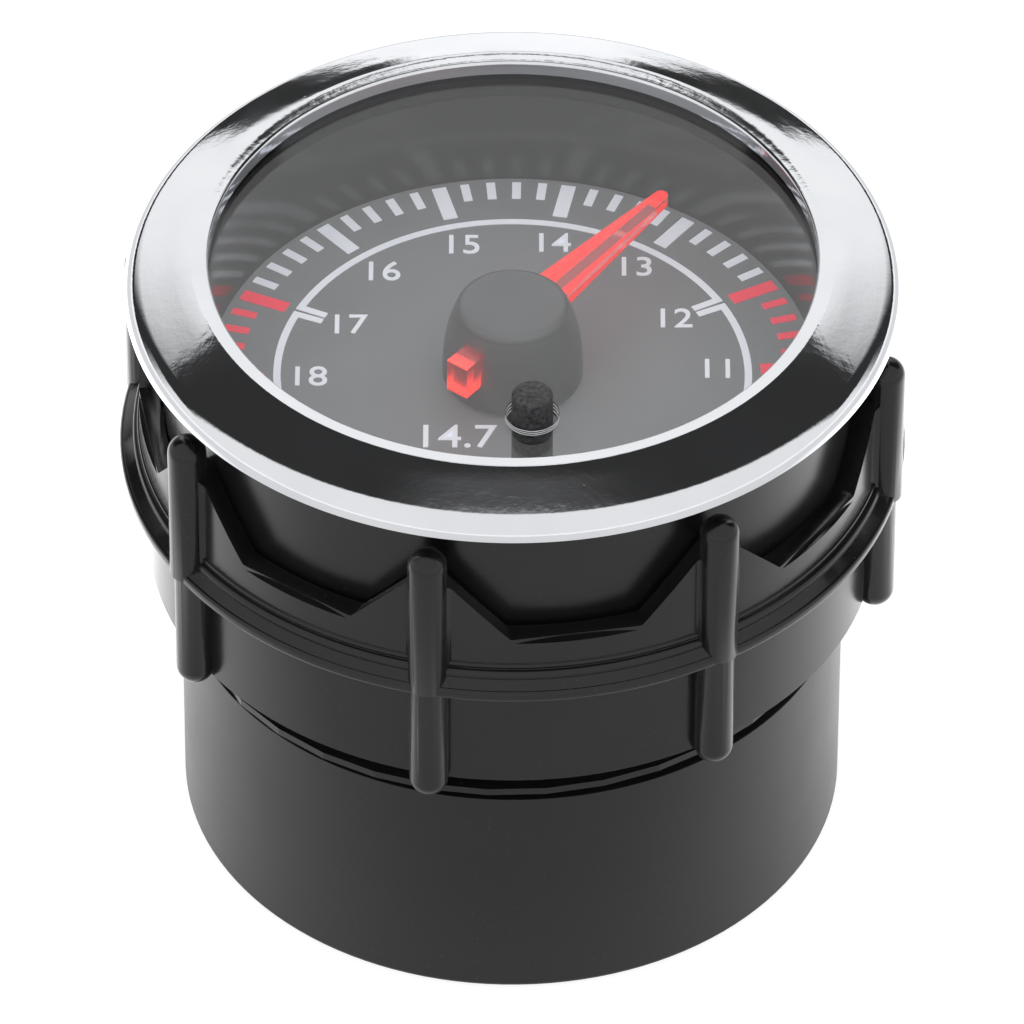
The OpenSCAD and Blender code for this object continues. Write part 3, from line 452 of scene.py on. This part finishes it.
finishes = {
    # Injection-moulded ABS, satin black: almost no colour, so its shape is read from its gloss
    "black_case": surface("moulded_abs_black", "#0b0b0c", "#101011", 0.26, 0.03, 0.16, 0.0035,
                          dust=0.10, Sheen_Weight=0.10, Sheen_Roughness=0.35),
    # The same ABS from a spark-eroded tool, for the plain cup: satin with a fine grain
    "black_cup": surface("moulded_abs_black_satin", "#0b0b0c", "#101011", 0.40, 0.03, 0.2, 0.006,
                         dust=0.12, Sheen_Weight=0.08, Sheen_Roughness=0.35),
    # Moulded polyamide, a little glossier than the case
    "black_ring": surface("moulded_polyamide_black", "#09090a", "#0f0f10", 0.20, 0.03, 0.22, 0.004,
                          dust=0.12, Sheen_Weight=0.08, Sheen_Roughness=0.35),
    "chrome": chromed_abs(),
    "lens_acrylic": clear_acrylic(),
    # Moulded rubber, for the gasket: matt, near black
    "black_rubber": surface("moulded_rubber_black", "#0d0d0d", "#141414", 0.62, 0.05, 0.2, 0.008),
    # The moulded wall round the dial, glossy enough to mirror the marks
    "black_inside": surface("moulded_abs_gloss_black", "#0d0d0e", "#121213", 0.16, 0.02, 0.3, 0.002),
    # Screen-printed polycarbonate dial: a satin black print, painted mid grey for the strong light
    # that lifts it, and given a faint painted glow
    "dial_black": surface("printed_dial_black", "#7a7b7e", "#808185", 0.42, 0.02, 0.25, 0.002,
                          dust=0.10, dust_colour="#b0b0b4",
                          Emission_Color=linear("#ffffff"), Emission_Strength=0.04),
    # White screen ink, a thin flat film, with a painted glow that lightens it
    "white_ink": surface("screen_ink_white", "#eceef2", "#e2e5ea", 0.45, 0.03, 0.2, 0.002,
                         Emission_Color=linear("#f0f2ff"), Emission_Strength=0.27),
    # Red screen ink, with a painted glow in the same way
    "red_ink": surface("screen_ink_red", "#ee2a48", "#e42440", 0.45, 0.03, 0.2, 0.002,
                       Emission_Color=linear("#ff4058"), Emission_Strength=0.38),
    "pointer_red": red_acrylic(),
    # Hot-stamped foil on the pointer's underside: full bright red, with a painted glow
    "pointer_foil": surface("hot_stamped_foil_red", "#ff2418", "#f01c14", 0.35, 0.03, 0.2, 0.002,
                            Emission_Color=linear("#ff2010"), Emission_Strength=0.45),
    # The cut edge of the lens's hole: the tool's lines, with painted highlights and shade along them
    # that also glow
    "hole_edge": cut_acrylic(),
    # ABS from a spark-eroded tool, for the hub: satin, dark grey, with a fine texture
    "black_hub": surface("spark_textured_abs_black", "#58585a", "#606062", 0.32, 0.03, 0.14, 0.008,
                         Specular_IOR_Level=0.7),
    # Moulded silicone, for the button: matt, and speckled with dust
    "black_button": surface("moulded_silicone_black", "#262627", "#505052", 0.50, 0.06, 0.2, 0.03,
                            patch=0.35, dust=0.25),
    # Opal polycarbonate that spreads the lamps' light
    "guide_white": surface("opal_polycarbonate", "#e8e8e2", "#dedfd8", 0.35, 0.04, 0.4, 0.003,
                           Subsurface_Weight=0.2, Subsurface_Radius=(0.003, 0.003, 0.003)),
    "board_green": solder_mask(),
    # Moulded epoxy of chips and switches, matt charcoal
    "part_black": surface("moulded_epoxy_black", "#1b1b1d", "#232325", 0.5, 0.05, 0.18, 0.006),
    # Opal resin of the lamps: warm white, soft gloss
    "lamp_white": surface("opal_lamp_resin", "#f0eedf", "#e4e1cc", 0.3, 0.04, 0.3, 0.003),
    # Zinc-plated steel screws, grey and a little blotched
    "screw_steel": surface("zinc_plated_steel", "#a9abad", "#8d9092", 0.30, 0.06, 0.2, 0.003,
                           patch=1.5, Metallic=1.0),
    # Ground steel, bright and even
    "steel": surface("ground_steel", "#b9babc", "#a2a4a6", 0.24, 0.05, 0.25, 0.003,
                     patch=3.0, Metallic=1.0),
    # Sintered ferrite magnet, dull grey
    "magnet": surface("sintered_ferrite", "#3c3c40", "#4a4a4e", 0.55, 0.05, 0.2, 0.006,
                      patch=2.0, Metallic=0.4),
    # Turned brass bearings, warm yellow
    "brass": surface("turned_brass", "#c9a04c", "#b08838", 0.26, 0.05, 0.2, 0.003,
                     patch=2.0, Metallic=1.0),
    "copper": copper_winding(),
    # Moulded nylon bobbins, waxy cream
    "bobbin_cream": surface("moulded_nylon_cream", "#d8d0ba", "#cdc4ac", 0.42, 0.04, 0.3, 0.004),
    # Tinned contacts, soft silver
    "contact_tin": surface("tin_plated_brass", "#c9c6bc", "#b4b1a6", 0.28, 0.06, 0.18, 0.003,
                           patch=1.0, Metallic=1.0),
    # Moulded nylon connector shell, left in its natural cream
    "shell_cream": surface("moulded_nylon_natural", "#e2dcc8", "#d8d0b8", 0.40, 0.04, 0.25, 0.004),
    # Shrunk vinyl sleeve of the capacitor, glossy dark blue
    "sleeve_blue": surface("shrunk_vinyl_blue", "#1f2f5e", "#25376c", 0.30, 0.04, 0.4, 0.004,
                           patch=3.0),
}


def dress(piece, slot_name):
    """Gives a mesh one finish, in every material slot that it has."""
    piece.data.materials.clear()
    piece.data.materials.append(finishes[slot_name])
    for face in piece.data.polygons:
        face.material_index = 0


# The CAD nodes keep their shapes and take their finishes

node_slots = {
    "rear_cup": "black_case", "front_housing": "black_case", "mounting_ring": "black_ring",
    "bezel": "chrome", "lens": "lens_acrylic", "lens_gasket": "black_rubber",
    "inner_wall": "black_inside", "dial_face": "dial_black", "dial_white_print": "white_ink",
    "dial_red_print": "red_ink", "light_guide": "guide_white", "main_board": "board_green",
    "board_screws": "screw_steel", "dial_lamps": "lamp_white", "driver_chip": "part_black",
    "resistors": "part_black", "tact_switch": "part_black", "switch_plunger": "part_black",
    "button": "black_button", "needle": "pointer_red", "needle_foil": "pointer_foil",
    "pointer_hub": "black_hub", "hub_cap": "black_hub", "spindle": "steel",
    "rotor_magnet": "magnet", "upper_bearing": "brass", "lower_bearing": "brass",
    "bobbin_upper": "bobbin_cream", "bobbin_lower": "bobbin_cream", "inner_coil": "copper",
    "outer_coil": "copper", "movement_shield": "steel", "movement_pins": "contact_tin",
    "rear_board": "board_green", "rear_board_screws": "screw_steel", "link_header": "part_black",
    "link_pins": "contact_tin", "connector_shell": "shell_cream", "connector_pins": "contact_tin",
    "capacitor": "sleeve_blue", "regulator": "part_black", "case_screws": "screw_steel",
}
for node_name, slot_name in node_slots.items():
    for place in nodes[node_name].material_slots:
        place.material = finishes[slot_name]


# Pieces that replace a node or add to it, with finer curves and softened edges

def new_piece(name, mesh, body, slot_name):
    """A visible piece with its finish, which rides the body it is named with."""
    piece = bpy.data.objects.new(name, mesh)
    bpy.context.scene.collection.objects.link(piece)
    dress(piece, slot_name)
    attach(piece, body)
    return piece


def arc(centre_r, centre_z, radius, start, end, steps):
    """Points of a rounding in the plane of a turned outline."""
    angles = [math.radians(start + (end - start) * i / steps) for i in range(steps + 1)]
    return [(centre_r + radius * math.cos(a), centre_z + radius * math.sin(a)) for a in angles]


def turned(name, outline, body, slot_name, steps=TURN_STEPS, centre=(0.0, 0.0), sharp=SHARP_ANGLE):
    """A closed outline in millimetres, turned round a vertical line."""
    bm = bmesh.new()
    start = [bm.verts.new(((centre[0] + r) * MM, centre[1] * MM, z * MM)) for r, z in outline]
    edges = [bm.edges.new((start[i], start[(i + 1) % len(start)])) for i in range(len(start))]
    bmesh.ops.spin(bm, geom=start + edges, cent=(centre[0] * MM, centre[1] * MM, 0.0),
                   axis=(0, 0, 1), angle=2 * math.pi, steps=steps, use_merge=True)
    bmesh.ops.remove_doubles(bm, verts=bm.verts, dist=TURN_WELD)
    bmesh.ops.recalc_face_normals(bm, faces=bm.faces)
    mesh = bpy.data.meshes.new(name)
    bm.to_mesh(mesh)
    bm.free()
    mesh.shade_smooth()
    mesh.set_sharp_from_angle(angle=math.radians(sharp))
    return new_piece(name, mesh, body, slot_name)


def softened(node_name, width, walls=()):
    """A node's own form with its hard edges rounded, as a mould leaves them.

    walls are the radii, in millimetres, of round walls that are to be shaded truly round."""
    mesh = nodes[node_name].data.copy()
    mesh.name = node_name + "_soft"
    bm = bmesh.new()
    bm.from_mesh(mesh)
    bmesh.ops.remove_doubles(bm, verts=bm.verts, dist=WELD)
    bmesh.ops.dissolve_limit(bm, angle_limit=math.radians(FLAT_ANGLE), verts=bm.verts,
                             edges=bm.edges)
    bm.to_mesh(mesh)
    bm.free()
    mesh.shade_smooth()
    body = nodes[node_name]["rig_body"]
    piece = new_piece(mesh.name, mesh, body, node_slots[node_name])
    rounding = piece.modifiers.new("edge_rounding", "BEVEL")
    rounding.width = width * MM
    rounding.segments = SOFT_STEPS
    rounding.limit_method = "ANGLE"
    rounding.angle_limit = math.radians(SOFT_ANGLE)
    rounding.miter_outer = "MITER_ARC"
    rounding.use_clamp_overlap = True
    rounding.harden_normals = True
    bpy.context.view_layer.update()
    graph = bpy.context.evaluated_depsgraph_get()
    rounded = bpy.data.meshes.new_from_object(piece.evaluated_get(graph), depsgraph=graph)
    rounded.name = mesh.name
    piece.modifiers.clear()
    piece.data = rounded
    normals = [corner.vector.copy() for corner in rounded.corner_normals]
    for face in rounded.polygons:
        reach = [math.hypot(*rounded.vertices[i].co.xy) / MM for i in face.vertices]
        upright = abs(face.normal.z) < WALL_TILT
        if upright and any(max(abs(r - wall) for r in reach) < WALL_LIMIT for wall in walls):
            for corner in face.loop_indices:
                spot = rounded.vertices[rounded.loops[corner].vertex_index].co
                normals[corner] = Vector((spot.x, spot.y, 0)).normalized()
    rounded.normals_split_custom_set(normals)
    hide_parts(node_name)
    return piece


bezel = turned("bezel_rim",
               [(BORE_R, PANEL_Z)]
               + arc(*RIM_ROUNDING)
               + [SLOPE_FOOT, SLOPE_MIDDLE, SLOPE_TOP, LIP_START, LIP_PEAK, LIP_END]
               + arc(*NOSE_ROUNDING)
               + [(APERTURE_R, LENS_TOP_Z), (SEAT_R, LENS_TOP_Z), (SEAT_R, SEAT_Z),
                  (SKIRT_R, SEAT_Z), (SKIRT_R, SKIRT_Z), (BORE_R, SKIRT_Z)],
               "case", "chrome")
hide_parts("bezel")

softened("mounting_ring", RING_SOFT, walls=(RING_R, CROWN_R))
# The ring's rolled flange: a bead, a step and the flange's own nose, with flat dark shelves between
turned("ring_flange_roll",
       [(ROLL_BORE_R, FLANGE_BACK_Z), (FLANGE_NOSE_R, FLANGE_BACK_Z)]
       + arc(*NOSE_LOW_ROUNDING)
       + arc(*NOSE_HIGH_ROUNDING)
       + [STEP_FOOT]
       + arc(*STEP_ROUNDING)
       + [STEP_SHELF]
       + arc(*BEAD_ROUNDING)
       + [BEAD_TOP, (ROLL_BORE_R, BEAD_TOP[1])],
       "ring", "black_ring")
cup = softened("rear_cup", CUP_SOFT, walls=(CASE_R,))
dress(cup, "black_cup")


def flank_r(z):
    """The hub's radius at a height, which swells toward the dial."""
    share = (z - HUB_Z) / (CAP_Z - HUB_Z)
    return HUB_BASE_R - (HUB_BASE_R - CAP_TOP_R) * share ** HUB_POWER


flank_top_z = CAP_Z - CAP_ROUND - 5 * HAIR
flank_step = (flank_top_z - POINTER_BACK_Z) / CAP_FLANK_STEPS
flank = [POINTER_BACK_Z + flank_step * i for i in range(CAP_FLANK_STEPS + 1)]
cap_floor_z = POINTER_Z + 10 * HAIR
cap = turned("hub_cap_moulded",
             [(HUB_CAVITY_R, POINTER_BACK_Z)]
             + [(flank_r(z), z) for z in flank]
             + arc(*CAP_ROUNDING)
             + [(CAP_MIDDLE_R, CAP_Z - HAIR), (0.0, CAP_Z - HAIR),
                (0.0, cap_floor_z), (HUB_CAVITY_R, cap_floor_z)],
             "pointer", "black_hub", sharp=CAP_SHARP_ANGLE)
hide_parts("hub_cap")

softened("button", BUTTON_SOFT)
hole_edge_r = LENS_HOLE_R + 3 * HAIR
hole_edge_z = LENS_BACK_Z + 4 * HAIR
hole_edge_top_z = LENS_TOP_Z + HAIR
hole_edge = turned("lens_hole_edge",
                   [(LENS_HOLE_R, hole_edge_z), (hole_edge_r, hole_edge_z),
                    (hole_edge_r, hole_edge_top_z), (LENS_HOLE_R, hole_edge_top_z)],
                   "case", "lens_acrylic", steps=HOLE_TURN_STEPS, centre=BUTTON_PLACE)
dress(hole_edge, "hole_edge")


# Printed numbers on the dial

def printed_numbers(name, numbers):
    """One piece of flat figures, each given as its words, height and place in millimetres."""
    bm = bmesh.new()
    for words, height, x, y in numbers:
        figure = bpy.data.curves.new(name + "_" + words, "FONT")
        figure.body = words
        figure.align_x = "CENTER"
        figure.align_y = "CENTER"
        figure.size = height / CAPITAL_SHARE * MM
        figure.extrude = PRINT_T / 2 * MM
        figure.offset = PRINT_SPREAD * MM
        figure.resolution_u = FIGURE_STEPS
        shown = bpy.data.objects.new(name + "_" + words, figure)
        bpy.context.scene.collection.objects.link(shown)
        bpy.context.view_layer.update()
        graph = bpy.context.evaluated_depsgraph_get()
        mesh = bpy.data.meshes.new_from_object(shown.evaluated_get(graph))
        mesh.transform(Matrix.Translation((x * MM, y * MM, (DIAL_Z + PRINT_T / 2) * MM)))
        bm.from_mesh(mesh)
        bpy.data.objects.remove(shown)
        bpy.data.curves.remove(figure)
        bpy.data.meshes.remove(mesh)
    mesh = bpy.data.meshes.new(name)
    bm.to_mesh(mesh)
    bm.free()
    return new_piece(name, mesh, "case", "white_ink")


scale_numbers = []
middle = (len(SCALE_WORDS) - 1) / 2
for i, words in enumerate(SCALE_WORDS):
    angle = math.radians(90 + DIAL_TURN - (i - middle) * SCALE_STEP)
    radius = HOOKED_NUMBER_R if words in HOOKED_WORDS else NUMBER_R
    scale_numbers.append((words, SCALE_FIGURE_H, radius * math.cos(angle), radius * math.sin(angle)))
printed_numbers("dial_scale_numbers", scale_numbers)
printed_numbers("dial_balance_number", [(BALANCE_WORDS, BALANCE_FIGURE_H, *BALANCE_PLACE)])


# Studio: a pale floor, soft panels that only gloss sees, and even light for everything else

# The floor's size in metres, and its parts along each side
FLOOR_SIZE = 3.0
FLOOR_PARTS = 8
# To gloss the floor grows brighter from one line across it to another, in metres from the gauge
FLOOR_DIM_Y = -0.040
FLOOR_BRIGHT_Y = 0.030
FLOOR_LIFT = 1.6
# That light fades out with the distance from the gauge, between these two, in metres
FLOOR_NEAR = 0.09
FLOOR_FAR = 0.20
# To the camera the floor glows this much, besides the light that falls on it
FLOOR_GLOW = 0.86


def studio_floor():
    """A matt white floor, brighter to gloss toward the back, as beside a lit backdrop."""
    bm = bmesh.new()
    bmesh.ops.create_grid(bm, x_segments=FLOOR_PARTS, y_segments=FLOOR_PARTS, size=FLOOR_SIZE)
    mesh = bpy.data.meshes.new("studio_floor")
    bm.to_mesh(mesh)
    bm.free()
    floor = bpy.data.objects.new("studio_floor", mesh)
    bpy.context.scene.collection.objects.link(floor)
    paint = bpy.data.materials.new("matt_white_paint")
    paint.use_nodes = True
    tree = paint.node_tree
    tree.nodes.clear()
    lit = add(tree, "ShaderNodeBsdfDiffuse", {"Color": linear("#e4e4e4")})
    rays = add(tree, "ShaderNodeLightPath")
    place = add(tree, "ShaderNodeTexCoord").outputs["Object"]
    split = add(tree, "ShaderNodeSeparateXYZ", {0: place})
    back = add(tree, "ShaderNodeMapRange",
               {"Value": split.outputs[1], "From Min": FLOOR_DIM_Y, "From Max": FLOOR_BRIGHT_Y,
                "To Max": FLOOR_LIFT})
    reach = add(tree, "ShaderNodeVectorMath", {0: place}, operation="LENGTH")
    near = add(tree, "ShaderNodeMapRange",
               {"Value": reach.outputs["Value"], "From Min": FLOOR_FAR, "From Max": FLOOR_NEAR})
    share = add(tree, "ShaderNodeMath",
                {0: back.outputs[0], 1: near.outputs[0]}, operation="MULTIPLY")
    share = add(tree, "ShaderNodeMath",
                {0: share.outputs[0], 1: rays.outputs["Is Glossy Ray"]}, operation="MULTIPLY")
    lift = add(tree, "ShaderNodeEmission", {"Strength": share.outputs[0]})
    lit = add(tree, "ShaderNodeAddShader", {0: lit.outputs[0], 1: lift.outputs[0]})
    part_lit = add(tree, "ShaderNodeBsdfDiffuse", {"Color": linear("#8c8c8c")})
    glow = add(tree, "ShaderNodeEmission", {"Strength": FLOOR_GLOW})
    seen = add(tree, "ShaderNodeAddShader", {0: part_lit.outputs[0], 1: glow.outputs[0]})
    mix = add(tree, "ShaderNodeMixShader",
              {0: rays.outputs["Is Camera Ray"], 1: lit.outputs[0], 2: seen.outputs[0]})
    add(tree, "ShaderNodeOutputMaterial", {"Surface": mix.outputs[0]})
    mesh.materials.append(paint)


# Each panel: its lowest and highest angle above the horizon, its nearest and furthest turn from
# straight behind the gauge, how far forward it reaches, the widths of its soft edge and of its soft
# ends, and its brightness; angles in degrees
PANELS = (
    (-95, 5.5, -99, 199, 2.0, 1.2, 2, 1.05),
    (13.5, 43.8, -99, 36, 2.0, 2.0, 12, 0.94),
    (-95, 21, 66, 199, 2.0, 3.0, 10, 0.84),
    (-95, 95, -99, 199, 0.15, 3.0, 2, 0.84),
    (75, 95, -99, 199, 2.0, 7.0, 2, 0.05),
    (46, 58, -99, 4.2, 2.0, 2.0, 1.0, 0.98),
    (-95, 9.5, -99, 5.2, 2.0, 1.5, 0.8, 1.05),
)
# How soft a panel's forward edge is, and what gloss sees of the room beside the panels
FORWARD_SOFT = 0.06
ROOM_LIGHT = 0.03


def studio_sky():
    """Even light all round; gloss sees the panels in its place, over a dim room."""
    world = bpy.data.worlds.new("soft_studio")
    bpy.context.scene.world = world
    world.use_nodes = True
    tree = world.node_tree
    tree.nodes.clear()
    view = add(tree, "ShaderNodeTexCoord").outputs["Generated"]
    split = add(tree, "ShaderNodeSeparateXYZ", {0: view})
    lift = add(tree, "ShaderNodeMath", {0: split.outputs[2]}, operation="ARCSINE")
    lift = add(tree, "ShaderNodeMath", {0: lift.outputs[0]}, operation="DEGREES")
    turn = add(tree, "ShaderNodeMath",
               {0: split.outputs[0], 1: split.outputs[1]}, operation="ARCTAN2")
    turn = add(tree, "ShaderNodeMath", {0: turn.outputs[0]}, operation="DEGREES")
    turn = add(tree, "ShaderNodeMath", {0: turn.outputs[0]}, operation="ABSOLUTE")
    height, side, depth = lift.outputs[0], turn.outputs[0], split.outputs[1]
    total = None
    for low, high, near, far, forward, soft, ends, bright in PANELS:
        share = None
        for source, start, end in ((height, low - soft / 2, low + soft / 2),
                                   (height, high + soft / 2, high - soft / 2),
                                   (side, near - ends, near + ends),
                                   (side, far + ends, far - ends),
                                   (depth, forward + FORWARD_SOFT, forward - FORWARD_SOFT)):
            step = add(tree, "ShaderNodeMapRange",
                       {"Value": source, "From Min": start, "From Max": end},
                       interpolation_type="SMOOTHSTEP")
            share = step if share is None else add(
                tree, "ShaderNodeMath", {0: share.outputs[0], 1: step.outputs[0]},
                operation="MULTIPLY")
        share = add(tree, "ShaderNodeMath", {0: share.outputs[0], 1: bright}, operation="MULTIPLY")
        total = share if total is None else add(
            tree, "ShaderNodeMath", {0: total.outputs[0], 1: share.outputs[0]},
            operation="MAXIMUM")
    panels = add(tree, "ShaderNodeMath", {0: total.outputs[0], 1: ROOM_LIGHT}, operation="ADD")
    rays = add(tree, "ShaderNodeLightPath")
    seen = add(tree, "ShaderNodeMix",
               {0: rays.outputs["Is Glossy Ray"], 2: 1.0, 3: panels.outputs[0]})
    sky = add(tree, "ShaderNodeBackground", {"Color": (1, 1, 1, 1), "Strength": seen.outputs[0]})
    add(tree, "ShaderNodeOutputWorld", {"Surface": sky.outputs[0]})


def studio_camera():
    """The camera, at the place and angle that were fitted to the photograph."""
    eye = bpy.data.cameras.new("camera")
    eye.lens = CAMERA_LENS
    eye.sensor_width = CAMERA_SENSOR
    eye.clip_start = CAMERA_NEAR
    eye.clip_end = CAMERA_FAR
    camera = bpy.data.objects.new("camera", eye)
    bpy.context.scene.collection.objects.link(camera)
    tilt = Matrix.Rotation(math.radians(CAMERA_TILT), 4, "X")
    roll = Matrix.Rotation(math.radians(CAMERA_ROLL), 4, "Z")
    camera.matrix_world = Matrix.Translation(Vector(CAMERA_PLACE) * MM) @ tilt @ roll
    bpy.context.scene.camera = camera


studio_floor()
studio_sky()
studio_camera()
bpy.context.scene.view_settings.view_transform = "Standard"
